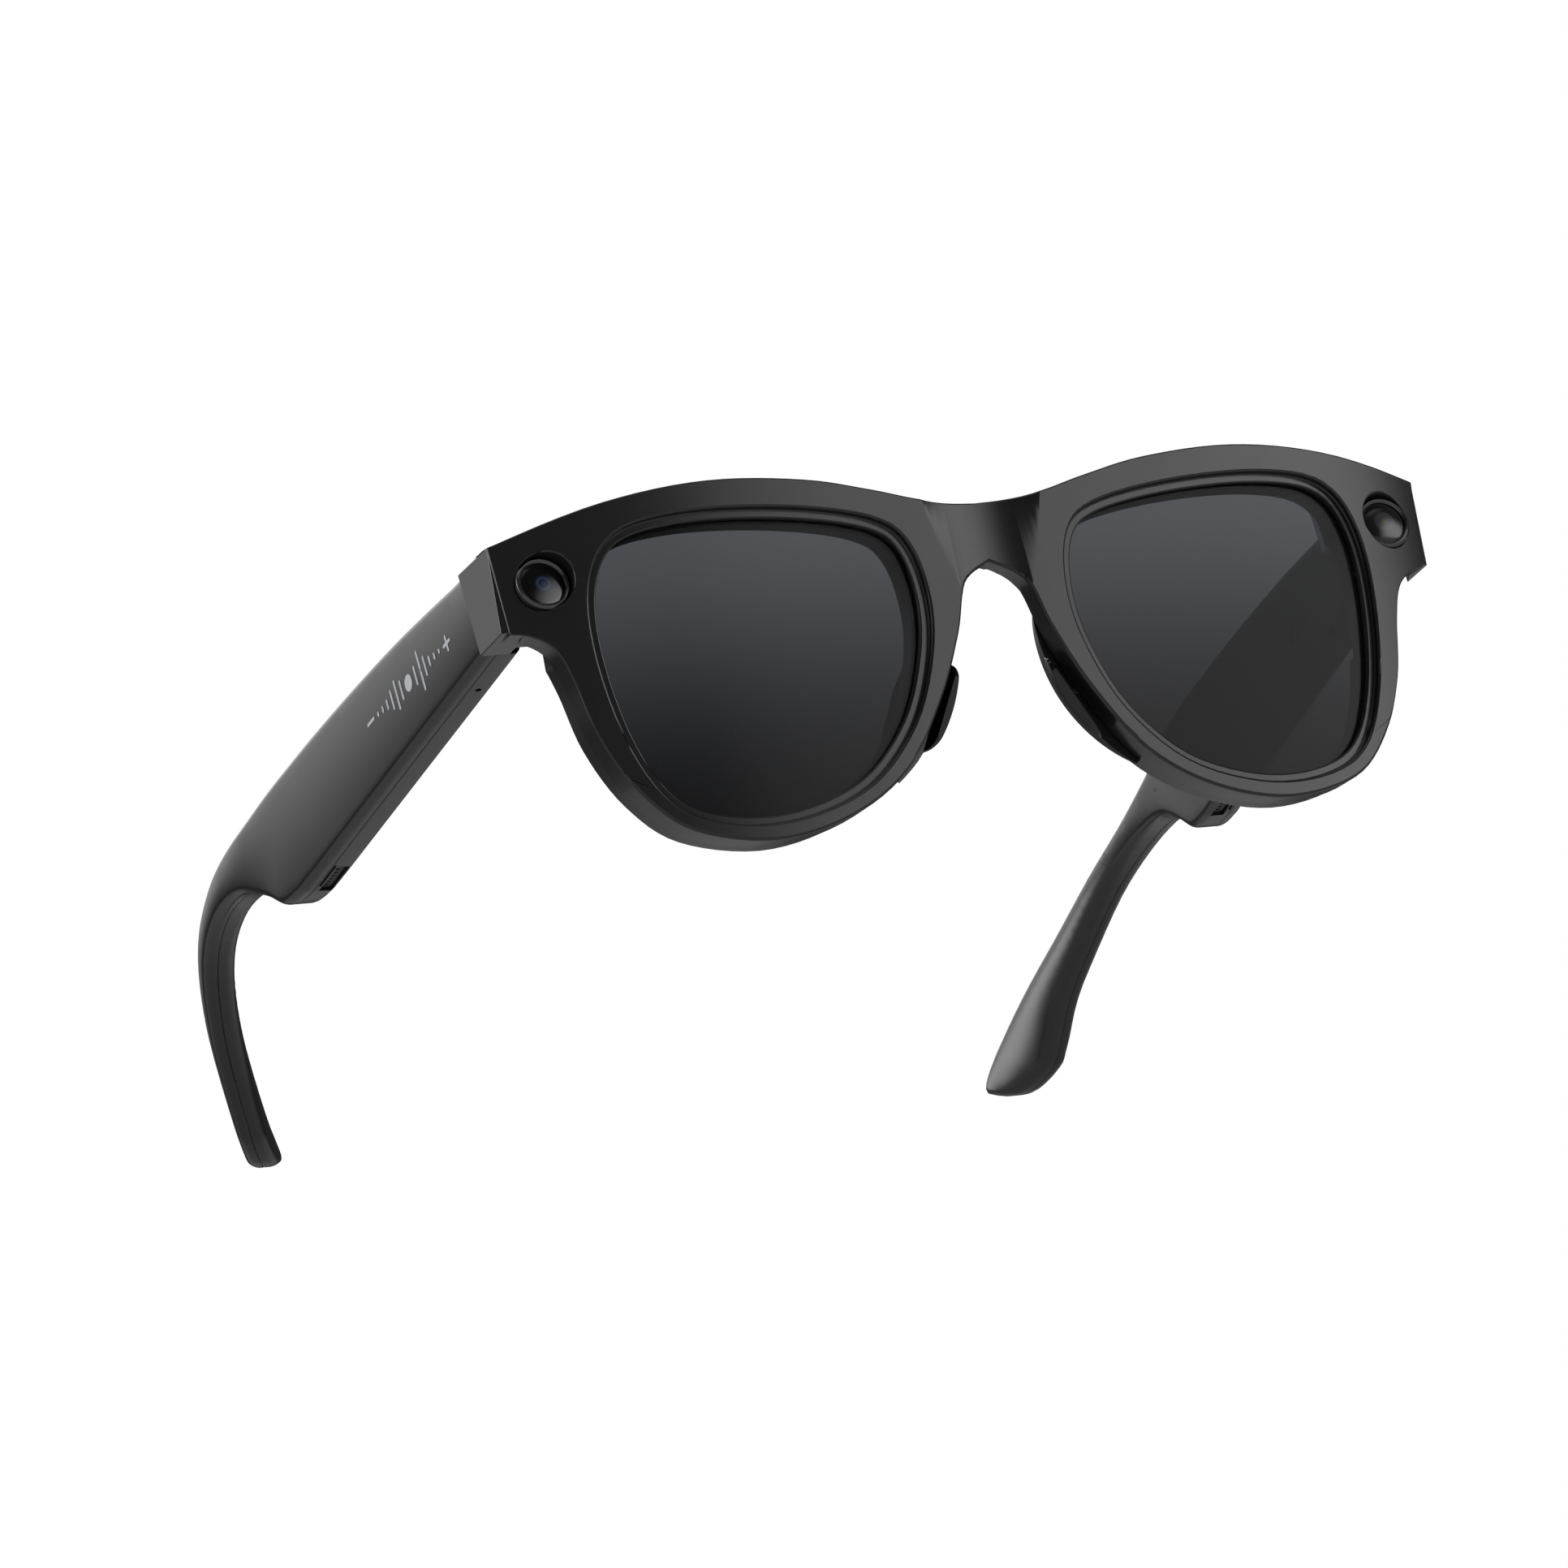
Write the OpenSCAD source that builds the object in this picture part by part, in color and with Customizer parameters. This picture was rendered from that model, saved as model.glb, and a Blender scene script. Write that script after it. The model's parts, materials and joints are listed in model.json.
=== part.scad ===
// Smart glasses: a thick, wrapped front with a camera and a status lamp in its
// corners, and two hollow folding temples that hold the electronics.
// X is the width, +Y runs from the front to the ear tips, +Z is up when worn.

/* [Front] */
// Half of the width over the end pieces
half_width = 73.5; // [72:0.5:75]
// Lean of the front, lower rim towards the face, in degrees
front_tilt = 12.5; // [11:0.5:13]
// How far the end pieces sweep back from the bridge
wrap_depth = 8.3; // [7.8:0.1:8.6]
// Thickness of the front frame
front_layer = 4.0; // [3.8:0.1:4.2]
// Thickness of the rear frame behind it
rear_layer = 3.0; // [2.8:0.1:3.2]

/* [Lenses] */
// Thickness of a lens
lens_thick = 1.7; // [1.5:0.1:1.8]
// Width of the lip that holds the lens edge
lens_lip = 1.3; // [1.1:0.1:1.4]

/* [Corner modules] */
// Distance of the camera and the lamp from the middle
module_x = 66.7; // [66.4:0.1:66.9]
// Radius of the module bezels
bezel_r = 4.05; // [3.9:0.05:4.1]
// Radius of the round windows
window_r = 3.25; // [3.1:0.05:3.3]

/* [Temples] */
// Thickness of the hollow part of a temple
temple_thick = 6.4; // [6.2:0.1:6.6]
// Thickness of the ear tip
tip_thick = 5.6; // [5.4:0.1:5.8]
// Depth of the outer shell, up to the seam
shell_depth = 2.4; // [2.3:0.1:2.5]
// Clear gap between the end piece and a temple
seam_gap = 0.15; // [0.12:0.01:0.2]

/* [Hinges] */
// Distance of a hinge axis from the middle
hinge_x = 66.8; // [66.7:0.05:66.9]
// Radius of the hinge knuckles
knuckle_r = 1.7; // [1.6:0.05:1.75]
// Radius of the hinge pin
pin_r = 0.6; // [0.55:0.05:0.65]
// Radial clearance of the pin in the moving knuckle
pin_play = 0.04; // [0.03:0.01:0.06]

/* [Buttons] */
// Length of the capture button
button_length = 8; // [7:0.5:8.5]
// Travel of the capture button, from its rest to the bottomed switch
button_travel = 0.4; // [0.3:0.05:0.45]
// Travel of the power slider
slider_travel = 2; // [1.8:0.1:2.2]

/* [Hidden] */
$fn = 48;

// Height of the rims' lowest point below the camera's height, and half the depth:
// together they put the origin under the middle of the open glasses.
camera_height = 41.0;
half_depth = 79.64;
fit = 0.05;
eps = 0.01;
end_piece_y = 18.1;
temple_y = end_piece_y + seam_gap;
temple_low = -4.7;
temple_top = 8.3;
hinge_y = temple_y;
splay = 3.17;
seam_slit = 0.04;
pad_depth = 1;
pad_y = -1.2;
relief_low = 18.1;
button_y = 19;
button_x = -4.2;
button_half_thick = 0.85;
flange_low = 6.5;
flange_thick = 0.6;
button_top = [10.5, 11.4];
slider_y = 20.3;
slider_length = 4.4;
finger_width = 1.0;
straight_x = half_width - 0.1;
front_back = front_layer + 0.03;
rear_back = front_back + rear_layer;
module_depth = 11.9;
barrel_r = 2.4;
leaf_y = 14.5;
leaf_thick = 1.4;
frame_screw_x = 62.5;
knuckle_low = 0.6;
knuckle_h = 2.15;
knuckle_gap = 0.08;
hinge_height = 3 * knuckle_h + 2 * knuckle_gap;
frame_screw_z = [knuckle_low + 1.5, knuckle_low + hinge_height - 1.5];
leaf_mid = knuckle_low + 1.5 * knuckle_h + knuckle_gap;
temple_screw_y = [5.6, 9.2];
shell_wall = 1.2;
cover_wall = 1.0;
pocket_low = temple_low + 1.1;
pocket_top = 7.2;
pocket_y0 = 13;
pocket_y1 = 74.5;

// ---- Curves ----

// One Catmull-Rom step between b and c
function bend(a, b, c, d, t) =
    0.5 * (2 * b + (c - a) * t + (2 * a - 5 * b + 4 * c - d) * t * t
        + (3 * b - a - 3 * c + d) * t * t * t);

// An open curve through its points
function open_curve(p, n) = [
    for (i = [0 : len(p) - 2], k = [0 : n - 1])
        bend(p[max(i - 1, 0)], p[i], p[i + 1], p[min(i + 2, len(p) - 1)], k / n),
    p[len(p) - 1]];

// A closed curve through its points
function closed_curve(p, n) = [
    for (i = [0 : len(p) - 1], k = [0 : n - 1])
        bend(p[(i + len(p) - 1) % len(p)], p[i], p[(i + 1) % len(p)], p[(i + 2) % len(p)], k / n)];

// A closed outline moved inwards by d; the outline runs anticlockwise
function unit(v) = v / norm(v);
function inset(p, d) = [
    for (i = [0 : len(p) - 1])
        let (t = unit(p[(i + 1) % len(p)] - p[(i + len(p) - 1) % len(p)]))
            p[i] + d * [-t.y, t.x]];

function reversed(p) = [for (i = [len(p) - 1 : -1 : 0]) p[i]];
function mirrored(p) = [for (q = reversed(p)) [-q.x, q.y]];

// ---- Front outlines, as seen from straight ahead, left half ----

top_half = open_curve([[0, 4.7], [8.5, 5.2], [16.8, 7.3], [26.9, 9.5], [41.5, 10.7], [57, 9.6],
    [half_width - 0.1, 6.6]], 6);
rim_half = open_curve([[half_width - 1.1, -6.4], [69.7, -7.5], [66.9, -10.1], [65.2, -15],
    [63.1, -24], [58.8, -32.8], [52.1, -39.2], [40.5, -42], [28.7, -39.7],
    [18.9, -33.7], [11.8, -23.9], [7.3, -14.6], [4.7, -7.3], [0, -4.2]], 6);
opening = closed_curve([[11, -9], [12.3, -17.5], [16.8, -27.3], [25, -35.4], [36, -39.2],
    [46.2, -38.9], [54.2, -35], [59, -26], [61.4, -13], [60.8, -2], [56.3, 4.7],
    [46, 6.5], [30, 5.6], [17.5, 3.1], [12.6, -1]], 5);

function sweep_back(x) = wrap_depth * pow(x / half_width, 4) * cos(front_tilt);
function laid(p) = [for (q = p) [q.x, q.y - sweep_back(q.x) * tan(front_tilt)]];

front_outline = laid(concat(reversed(concat(top_half, rim_half)),
    [for (i = [1 : len(top_half) - 1]) [-top_half[i].x, top_half[i].y]],
    [for (i = [0 : len(rim_half) - 2]) [-rim_half[i].x, rim_half[i].y]]));

// Everything below places shapes in the leaned frame of the front
module lean() { rotate([front_tilt, 0, 0]) children(); }
module along_depth(points, d0, d1) {
    translate([0, d1, 0]) rotate([90, 0, 0]) linear_extrude(d1 - d0) polygon(points);
}

// A wrapped slab between the depths d0 and d1 behind the front surface
module wrapped_slab(d0, d1, reach = half_width + 4) {
    steps = 22;
    xs = [for (i = [-steps : steps]) reach * i / steps];
    translate([0, 0, -60]) linear_extrude(100)
        polygon(concat([for (x = xs) [x, sweep_back(x) + d0]],
            [for (x = reversed(xs)) [x, sweep_back(x) + d1]]));
}

module row() { translate([0, -half_depth, camera_height]) children(); }
module right_side() { mirror([1, 0, 0]) children(); }

// ---- Front ----

module lens_openings(points, d0, d1) {
    for (side = [0, 1]) mirror([side, 0, 0]) intersection() {
        along_depth(laid(points), -20, 40);
        wrapped_slab(d0, d1);
    }
}

// Both creases and the saddle between them come from one leaning cylinder
module bridge_saddle() {
    saddle_r = 24;
    translate([0, -saddle_r + 1.35, 0]) rotate([-5.5, 0, 0])
        cylinder(r = saddle_r, h = 60, center = true, $fn = 96);
}

module end_block() {
    side = [[-2, 5.2], [end_piece_y, temple_top], [end_piece_y, temple_low],
        [9.25, -5.8], [-2, -5.8]];
    intersection() {
        translate([61, 0, 0]) rotate([90, 0, 90]) linear_extrude(half_width - 61) polygon(side);
        lean() wrapped_slab(0.2, 40);
    }
}

module module_bores() {
    translate([module_x, 0, 0]) rotate([-90, 0, 0]) {
        translate([0, 0, -10]) cylinder(r = bezel_r + fit, h = 19.1);
        cylinder(r = barrel_r + 0.1, h = module_depth);
    }
}

// Room for the knuckles, the seat of the leaf and its screw holes
module hinge_notch() {
    translate([hinge_x - 6, leaf_y + leaf_thick, -7]) cube([8, 4, 17]);
    translate([hinge_x, hinge_y, -7]) cylinder(r = knuckle_r + 0.25, h = 17);
    translate([hinge_x - 6, leaf_y - fit, knuckle_low - fit])
        cube([7.8 + fit, 4, hinge_height + 2 * fit]);
    for (z = frame_screw_z) translate([frame_screw_x, leaf_y - 2.6, z]) rotate([-90, 0, 0])
        cylinder(r = 0.52, h = 3, $fn = 32);
}

// Room behind the left corner for the tip of the right temple, which folds first
module tip_relief() {
    translate([59, 14.35, -relief_low]) rotate([0, 0, -23]) cube([12.5, 10, relief_low - 2.6]);
    translate([57, 13.3, 0.2 - relief_low]) cube([6, 10, relief_low + knuckle_low - 0.1]);
    translate([62.5, 12.4, -3]) cube([3.3, 6, 3.5]);
}

module flex_band(low, high, d0, d1, reach) {
    band = concat([for (p = top_half) if (p.x <= reach) [p.x, p.y - high]],
        [for (p = reversed(top_half)) if (p.x <= reach) [p.x, p.y - low]]);
    for (side = [0, 1]) mirror([side, 0, 0]) intersection() {
        along_depth(laid([for (p = band) [p.x - eps * (1 - p.x / reach), p.y]]), -20, 40);
        wrapped_slab(d0, d1);
    }
}

module front_frame() {
    color("#202124") difference() {
        union() {
            lean() intersection() {
                along_depth(front_outline, -20, 40);
                wrapped_slab(0, front_layer);
            }
            end_block();
            right_side() end_block();
        }
        lean() {
            lens_openings(opening, -2, 1.2);
            lens_openings(inset(opening, lens_lip), -2, 30);
            lens_openings(opening, 2.2, 30);
            bridge_saddle();
            flex_band(0.9, 2.7, 3.6, 5, 61);
        }
        for (side = [0, 1]) mirror([side, 0, 0]) {
            module_bores();
            hinge_notch();
        }
        tip_relief();
    }
}

module wing_place() {
    translate([10.6, 6.2, -24.3]) rotate([0, -27.5, 0]) rotate([0, 0, -22]) children();
}

module nose_wing() {
    wing_place() intersection() {
        translate([0, -8, -15]) cube([3.8, 18, 30]);
        translate([-1, -2.4, 0]) rotate([0, 90, 0]) scale([1.7, 1, 1]) cylinder(r = 7.8, h = 6);
        translate([30, 0, 0]) rotate([90, 0, 0]) cylinder(r = 30, h = 40, center = true, $fn = 144);
    }
}

module pad_oval(r, length, h) {
    rotate([0, -90, 0]) linear_extrude(h) {
        for (end = [-1, 1]) translate([end * length / 2, 0]) circle(r = r);
        square([length, 2 * r], center = true);
    }
}

module contact_place() {
    spacing = 3.5;
    for (i = [-1.5 : 1 : 1.5])
        translate([i * spacing, front_back + 1.1, abs(i) > 1 ? -6.25 : -4.1]) children();
}

// The end pieces reach back through this part of the rear frame
module end_piece_room() {
    for (side = [0, 1]) mirror([side, 0, 0]) translate([60.9, -10, -8.6]) cube([20, 40, 30]);
}

// The bridge thins out behind the nose
module nose_flare() {
    translate([0, front_back, -13]) rotate([-90, 0, 0])
        cylinder(r1 = 7.6, r2 = 11, h = rear_layer + eps, $fn = 96);
}

module rear_frame() {
    color("#1c1d1f") difference() {
        union() {
            lean() difference() {
                intersection() {
                    along_depth(inset(front_outline, 0.25), -20, 40);
                    wrapped_slab(front_back, rear_back, 66);
                }
                end_piece_room();
                nose_flare();
            }
            for (side = [0, 1]) mirror([side, 0, 0]) lean() difference() {
                nose_wing();
                wrapped_slab(-20, front_back + 0.4);
            }
        }
        lean() {
            lens_openings(inset(opening, lens_lip + 0.1), -2, 30);
            contact_place() translate([0, 0, -3]) cylinder(r = 0.85, h = 5.2, $fn = 32);
            translate([0, front_back - 1, 1.4]) cube([4.2, 3, 3.2], center = true);
            translate([0, front_back - 1, 1.4]) rotate([-90, 0, 0]) cylinder(r = 0.4, h = 5, $fn = 32);
        }
        for (side = [0, 1]) mirror([side, 0, 0])
            lean() wing_place() translate([pad_depth, pad_y, 0]) pad_oval(2.55, 9, 3);
        tip_relief();
    }
}

module lens() {
    color("#2b2c2f") lean() intersection() {
        along_depth(laid(inset(opening, 0.1)), -20, 40);
        wrapped_slab(2.25, 2.25 + lens_thick);
    }
}

module nose_pad() {
    color("#111214") lean() wing_place() translate([pad_depth, pad_y, 0]) intersection() {
        pad_oval(2.5, 9, 3.6);
        translate([19.3, 0, 0]) sphere(r = 20.8, $fn = 144);
    }
}

module bezel_ring() {
    translate([module_x, 6.1, 0]) rotate([-90, 0, 0]) rotate_extrude()
        polygon([[window_r + 0.05, 0.35], [bezel_r - 0.35, 0], [bezel_r, 0.35], [bezel_r, 2.95],
            [window_r + 0.05, 2.95]]);
}

module camera_bezel() { color("#4a4b4e") right_side() bezel_ring(); }
module lamp_bezel() { color("#4a4b4e") bezel_ring(); }

module round_window(dome) {
    translate([module_x, 6.6 - dome, 0]) rotate([-90, 0, 0]) rotate_extrude()
        polygon(concat([[0, dome + 1.2]], [[window_r, dome + 1.2]],
            [for (i = [0 : 8]) let (r = window_r * (1 - i / 8))
                [r, dome * r * r / (window_r * window_r)]]));
}

module camera_window() { color("#08090b") right_side() round_window(0.25); }
module lamp_window() { color("#8a8b8e") round_window(0.6); }

module camera_barrel() {
    color("#1a1b1d") right_side() translate([module_x, 7.9, 0]) rotate([-90, 0, 0]) difference() {
        cylinder(r = barrel_r, h = 2.9);
        translate([0, 0, -eps]) cylinder(r = 1.7, h = 1.2);
    }
}

module camera_sensor() {
    color("#2f5d3a") right_side() translate([module_x, module_depth - 0.55, 0])
        cube([3.3, 0.9, 3.3], center = true);
}

module lamp_emitter() {
    color("#d9c9a0") translate([module_x, 7.9, 0]) rotate([-90, 0, 0]) {
        cylinder(r = 1.5, h = 1);
        translate([0, 0, 0.9]) cylinder(r = 2.3, h = 0.8);
    }
}

module lamp_board() {
    color("#2f5d3a") translate([module_x, 9.65, 0]) rotate([-90, 0, 0]) cylinder(r = 2.3, h = 0.8);
}

module frame_flex() {
    color("#c98a3a") lean() flex_band(1.05, 2.5, 3.7, 3.95, 60);
}

module bridge_microphone() {
    color("#b9babd") lean() translate([0, front_back + 0.23, 1.4])
        cube([3.8, 0.42, 2.8], center = true);
}

module charging_contacts() {
    color("#c9a24a") lean() contact_place() translate([0, 0, 0.6]) cylinder(r = 0.78, h = 1.5, $fn = 32);
}

// ---- Hinges ----

// A slotted head that sits on z = 0
module screw_head(r) {
    difference() {
        cylinder(r = r, h = 0.45, $fn = 32);
        translate([0, 0, 0.4]) cube([2 * r - 0.4, 0.25, 0.4], center = true);
    }
}

module knuckle(index, bore) {
    z0 = knuckle_low + index * (knuckle_h + knuckle_gap);
    translate([hinge_x, hinge_y, z0]) difference() {
        union() {
            cylinder(r = knuckle_r, h = knuckle_h);
            children();
        }
        translate([0, 0, -1]) cylinder(r = bore, h = knuckle_h + 2);
    }
}

module frame_hinge() {
    color("#9a9b9e") {
        for (index = [0, 2]) knuckle(index, pin_r + eps)
            translate([-1, leaf_y + leaf_thick / 2 - hinge_y, 0]) cube([2, 2.2, knuckle_h]);
        difference() {
            translate([hinge_x - 5.9, leaf_y, knuckle_low]) cube([7.7, leaf_thick, hinge_height]);
            for (z = frame_screw_z) translate([frame_screw_x, leaf_y - 1, z]) rotate([-90, 0, 0]) {
                cylinder(r = 0.55, h = 4, $fn = 32);
                translate([0, 0, 1 + leaf_thick - 0.5]) cylinder(r = 0.95, h = 1, $fn = 32);
            }
        }
    }
}

module frame_screws() {
    color("#c4c5c8") for (z = frame_screw_z)
        translate([frame_screw_x, leaf_y + leaf_thick - 0.45, z]) rotate([90, 0, 0]) {
            cylinder(r = 0.5, h = 3.2, $fn = 32);
            rotate([180, 0, 0]) screw_head(0.9);
        }
}

module hinge_pin() {
    color("#c4c5c8") translate([hinge_x, hinge_y, knuckle_low]) {
        cylinder(r = pin_r, h = hinge_height);
        translate([0, 0, hinge_height]) screw_head(1.2);
    }
}

// Places children in the straight frame of the left temple: x = 0 is the outer
// face and y = 0 is its front end
module on_temple() { translate([straight_x, temple_y, 0]) rotate([0, 0, -splay]) children(); }

module temple_hinge() {
    color("#9a9b9e") {
        knuckle(1, pin_r + pin_play) translate([0, 0.2, 0]) cube([2.2, 3.2, knuckle_h]);
        on_temple() translate([-5.1, 2, leaf_mid - 2.6]) difference() {
            cube([1.2, 9.2, 5.2]);
            for (y = temple_screw_y) translate([-1, y - 2, 2.6]) rotate([0, 90, 0])
                cylinder(r = 0.55, h = 4, $fn = 32);
        }
    }
}

module hinge_screws() {
    color("#c4c5c8") on_temple() for (y = temple_screw_y) translate([-6, y, leaf_mid]) rotate([0, 90, 0]) {
        cylinder(r = 0.5, h = 2.1, $fn = 32);
        translate([0, 0, 2.1]) screw_head(0.9);
    }
}

// ---- Temples, left one ----

temple_side = concat(
    open_curve([[temple_y, temple_top], [43, 11.2], [70, 13], [92, 13.5], [106, 12.4],
        [118, 10.9], [132.5, 7.4], [147.3, -0.3], [157.3, -8.3], [161.2, -14.4],
        [157.2, -17.4], [151.8, -16], [149.4, -13.3], [143.8, -5.9], [131.4, 2.3],
        [119.1, 5.2], [108.1, 4.4], [101.2, 0.6], [96, -3.6], [90, temple_low]], 5),
    [[temple_y, temple_low]]);

function outer_x(y) = straight_x + (y - temple_y) * tan(splay);
bow = concat([[outer_x(temple_y), temple_y]],
    open_curve([[outer_x(84), 84], [78.1, 98], [79.2, 107], [79.2, 117], [77.6, 129],
        [74.3, 141], [69.4, 152], [63.2, 163]], 5));

function thickness(y) = y < 96 ? temple_thick
    : y > 136 ? tip_thick
    : temple_thick + (tip_thick - temple_thick) * (1 - cos(180 * (y - 96) / 40)) / 2;

// The part of the temple between two curves seen from above
module temple_solid(outer, inner) {
    intersection() {
        rotate([90, 0, 90]) linear_extrude(100) polygon(temple_side);
        translate([0, 0, -60]) linear_extrude(100)
            polygon(concat(outer, reversed(inner)));
    }
}

function shifted(d) = [for (p = bow) [p.x - d, p.y]];
inner_bow = [for (p = bow) [p.x - thickness(p.y), p.y]];

module barrel_relief() {
    translate([hinge_x, hinge_y, knuckle_low - 0.2])
        cylinder(r = knuckle_r + 0.2, h = hinge_height + 0.9);
}

module temple_shell(with_sensor) {
    color("#232427") difference() {
        temple_solid(bow, shifted(shell_depth));
        on_temple() translate([-shell_depth - 1, pocket_y0, pocket_low])
            cube([shell_depth + 1 - shell_wall, pocket_y1 - pocket_y0, pocket_top - pocket_low]);
    }
}

module temple_cover_body() {
    difference() {
        temple_solid(shifted(shell_depth + seam_slit), inner_bow);
        barrel_relief();
        on_temple() {
            translate([-temple_thick + cover_wall, pocket_y0, pocket_low])
                cube([temple_thick, pocket_y1 - pocket_y0, pocket_top - pocket_low]);
            // Seat of the hinge leaf
            translate([-5.2, -1, leaf_mid - 2.7]) cube([3.4, 12.4, 5.4]);
            translate([-7, -1, leaf_mid - 1.4]) cube([3, 5, 2.8]);
            for (y = temple_screw_y) translate([-6.05, y, leaf_mid]) rotate([0, 90, 0])
                cylinder(r = 0.52, h = 1.5, $fn = 32);
            // Port of the low microphone
            translate([-3.9, 10.3, temple_low - 1]) cylinder(r = 0.45, h = 3, $fn = 32);
            translate([-5, 9, temple_low + 0.7]) cube([2.2, 4.5, 1.6]);
            // Speaker port in the underside
            translate([-5.3, 64, temple_low - 1]) cube([2.1, 7.5, 3]);
            // Slit vent beside the seam
            translate([-3, 63.5, temple_low - 1]) cube([0.4, 6.5, 3]);
        }
    }
}

module capture_opening() {
    half_thick = button_half_thick + 2 * fit;
    on_temple() translate([button_x - half_thick, button_y - button_length / 2 - fit, pocket_top - 1])
        cube([2 * half_thick, button_length + 2 * fit, 6]);
}

module slider_opening() {
    on_temple() {
        translate([-temple_thick - 1, slider_y - 0.3, 0.4])
            cube([1.55, slider_length + slider_travel + 0.6, 2.4]);
        translate([-temple_thick - 1, slider_y + 1.7, 1.1])
            cube([3, finger_width + slider_travel + 0.2, 1]);
    }
}

module left_cover() {
    color("#1d1e20") difference() {
        temple_cover_body();
        slider_opening();
        // Room for the right temple's tip as it folds past the lower edge
        on_temple() translate([-temple_thick, 14, temple_low]) rotate([90, 0, 0])
            linear_extrude(16) polygon([[-1, 2.2], [-1, -1], [2.6, -1]]);
    }
}

module right_cover() {
    color("#1d1e20") difference() {
        temple_cover_body();
        capture_opening();
    }
}

// ---- What the temples hold ----

module battery() { color("#3f4a57") on_temple() translate([-5.3, 37, -3.2]) cube([3, 24, 10]); }

module circuit_board() {
    color("#2f5d3a") on_temple() {
        translate([-2.1, 14, -3.2]) cube([0.55, 59.5, 10]);
        translate([-3.1, 28, -1.5]) cube([1.05, 6.5, 6.5]);
    }
}

module speaker() { color("#55565a") on_temple() translate([-5.3, 62, -2.5]) cube([2.9, 12, 7.5]); }

module speaker_grille() {
    color("#0e0f10") on_temple() translate([-5.2, 64.1, pocket_low - 0.5]) difference() {
        cube([1.9, 7.3, 0.4]);
        for (i = [0 : 6]) translate([0.95, 0.85 + i * 0.95, -1]) cylinder(r = 0.28, h = 3, $fn = 16);
    }
}

module microphone() {
    color("#b9babd") on_temple() translate([-4.8, 9.2, temple_low + 0.8]) cube([1.8, 3.2, 1.1]);
}

module touch_sensor() {
    color("#c98a3a") right_side() on_temple() translate([-1.38, 15, -2.5]) cube([0.12, 46, 8.5]);
}

module capture_button() {
    half = button_length / 2;
    top = [[-half + 0.1, flange_low], [half - 0.1, flange_low], [half - 0.1, button_top[1]],
        [-half + 0.1, button_top[0]]];
    color("#3a3b3e") right_side() on_temple()
        translate([button_x - button_half_thick, button_y, 0]) {
            rotate([90, 0, 90]) linear_extrude(2 * button_half_thick) polygon(top);
            translate([0, -half - 0.5, flange_low])
                cube([2 * button_half_thick, button_length + 1, flange_thick]);
        }
}

module capture_switch() {
    plunger_top = flange_low - button_travel - 0.1;
    color("#55565a") right_side() on_temple() translate([button_x, button_y, plunger_top]) {
        translate([-0.9, -1.5, -2.4]) cube([1.8, 3, 1.9]);
        translate([0, 0, -0.6]) cylinder(r = 0.6, h = 0.6, $fn = 32);
    }
}

module power_slider() {
    color("#3a3b3e") on_temple() {
        translate([-temple_thick + 0.02, slider_y, 0.5]) difference() {
            cube([0.5, slider_length, 2.2]);
            for (i = [0 : 4]) translate([-0.3, 1 + i * 0.6, -1]) cube([0.5, 0.25, 5]);
        }
        translate([-temple_thick + 0.4, slider_y + 1.8, 1.2]) cube([0.95, finger_width, 0.8]);
    }
}

module power_switch() {
    color("#55565a") on_temple() translate([-4.9, 20.5, 0]) cube([1.7, 6, 3.2]);
}

row() front_frame();
row() rear_frame();
row() lens();  // left_lens
row() right_side() lens();  // right_lens
row() nose_pad();  // left_nose_pad
row() right_side() nose_pad();  // right_nose_pad
row() camera_bezel();
row() camera_window();
row() camera_barrel();
row() camera_sensor();
row() lamp_bezel();
row() lamp_window();
row() lamp_emitter();
row() lamp_board();
row() frame_flex();
row() bridge_microphone();
row() charging_contacts();
row() frame_hinge();  // left_frame_hinge
row() right_side() frame_hinge();  // right_frame_hinge
row() frame_screws();  // left_frame_screws
row() right_side() frame_screws();  // right_frame_screws
row() hinge_pin();  // left_hinge_pin
row() right_side() hinge_pin();  // right_hinge_pin
row() temple_shell();  // left_temple_shell
row() right_side() temple_shell();  // right_temple_shell
row() left_cover();  // left_temple_cover
row() right_side() right_cover();  // right_temple_cover
row() temple_hinge();  // left_temple_hinge
row() right_side() temple_hinge();  // right_temple_hinge
row() hinge_screws();  // left_hinge_screws
row() right_side() hinge_screws();  // right_hinge_screws
row() battery();  // left_battery
row() right_side() battery();  // right_battery
row() circuit_board();  // left_circuit_board
row() right_side() circuit_board();  // right_circuit_board
row() speaker();  // left_speaker
row() right_side() speaker();  // right_speaker
row() speaker_grille();  // left_speaker_grille
row() right_side() speaker_grille();  // right_speaker_grille
row() microphone();  // left_microphone
row() right_side() microphone();  // right_microphone
row() touch_sensor();
row() capture_button();
row() capture_switch();
row() power_slider();
row() power_switch();
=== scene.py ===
"""Looks of the smart glasses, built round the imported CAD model. Metres, row frame."""

import json
import math

import bmesh
import bpy
import numpy as np
from mathutils import Matrix, Vector
from mathutils.bvhtree import BVHTree
from mathutils.geometry import delaunay_2d_cdt

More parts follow.
